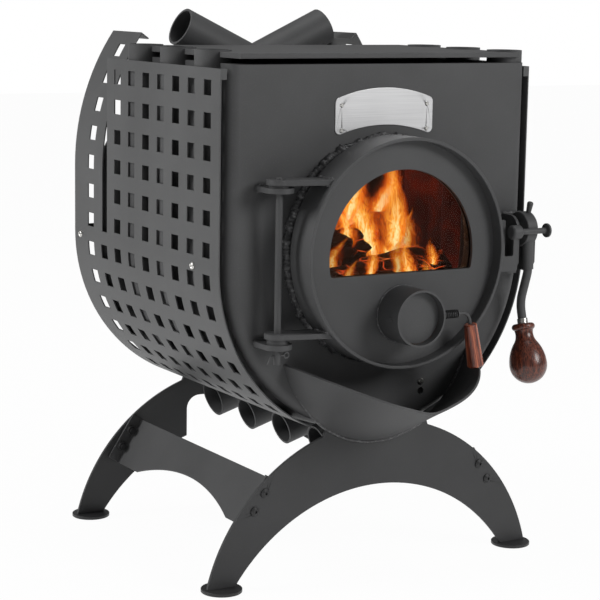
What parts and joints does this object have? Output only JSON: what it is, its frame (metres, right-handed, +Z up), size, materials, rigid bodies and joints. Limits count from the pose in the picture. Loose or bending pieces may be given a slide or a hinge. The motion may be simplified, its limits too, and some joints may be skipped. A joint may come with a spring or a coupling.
{
  "type": "wood stove",
  "caption": "Free-standing steel wood stove with a round windowed door, a wall of bent convection tubes, pierced side shields and arched legs.",
  "frame": {"origin": "middle of the whole stove's outline, on the floor under the feet", "axes": "+Z up, the door looks along -Y, +Y to the flue outlet at the back, +X to the latch side"},
  "size_m": [0.46, 0.5394, 0.6559],
  "materials": {
    "painted_steel": "matt heat-resistant paint",
    "shield_paint": "fine-grained satin paint",
    "window_glass": "ceramic glass",
    "glass_rope": "braided glass fibre",
    "grip_wood": "varnished",
    "knob_wood": "varnished",
    "plate_steel": "brushed",
    "bright_steel": "zinc plated"
  },
  "bodies": {
    "stove": {"front_plate": "painted_steel", "rear_plate": "painted_steel", "firebox_roof": "painted_steel", "roof_end_plate": "painted_steel", "cook_plate": "painted_steel", "tube_right_1": "painted_steel", "tube_right_2": "painted_steel", "tube_right_3": "painted_steel", "tube_left_1": "painted_steel", "tube_left_2": "painted_steel", "tube_left_3": "painted_steel", "crossing_tube_right": "painted_steel", "crossing_tube_left": "painted_steel", "side_webs_left": "painted_steel", "side_webs_right": "painted_steel", "door_neck": "painted_steel", "hinge_lug_upper": "painted_steel", "hinge_lug_lower": "painted_steel", "hinge_pin": "painted_steel", "hinge_washers": "painted_steel", "hinge_split_pin": "bright_steel", "latch_bracket": "painted_steel", "latch_pin": "painted_steel", "ash_lip": "painted_steel", "shield_left": "shield_paint", "shield_right": "shield_paint", "shield_brackets": "painted_steel", "shield_screws": "bright_steel", "nameplate": "plate_steel", "plate_rivets": "bright_steel", "front_leg": "painted_steel", "rear_leg": "painted_steel", "stretcher_left": "painted_steel", "stretcher_right": "painted_steel", "foot_discs": "painted_steel", "leg_bolts": "painted_steel", "flue_collar": "painted_steel"},
    "door": {"door_ring": "painted_steel", "door_plate": "painted_steel", "door_gasket": "glass_rope", "window_glass": "window_glass", "glass_clamp": "bright_steel", "air_inlet_collar": "painted_steel", "hinge_arm_upper": "painted_steel", "hinge_arm_lower": "painted_steel", "latch_catch": "painted_steel"},
    "damper": {"damper_disc": "painted_steel", "damper_axle": "painted_steel", "damper_spring": "bright_steel", "damper_grip": "grip_wood"},
    "lever": {"latch_cam": "painted_steel", "latch_bar": "painted_steel", "lever_rod": "painted_steel", "lever_ferrule": "painted_steel", "lever_knob": "knob_wood"}
  },
  "joints": [
    {"name": "door_hinge", "type": "hinge", "parent": "stove", "child": "door", "pos_m": [-0.154, -0.17867, 0.372], "axis": [0, 0, -1], "range_deg": [0, 120]},
    {"name": "damper_turn", "type": "hinge", "parent": "door", "child": "damper", "pos_m": [0, -0.22567, 0.3155], "axis": [-1, 0, 0], "range_deg": [0, 90]},
    {"name": "latch_lever", "type": "hinge", "parent": "stove", "child": "lever", "pos_m": [0.188, -0.17567, 0.402], "axis": [-1, 0, 0], "range_deg": [0, 50]}
  ]
}
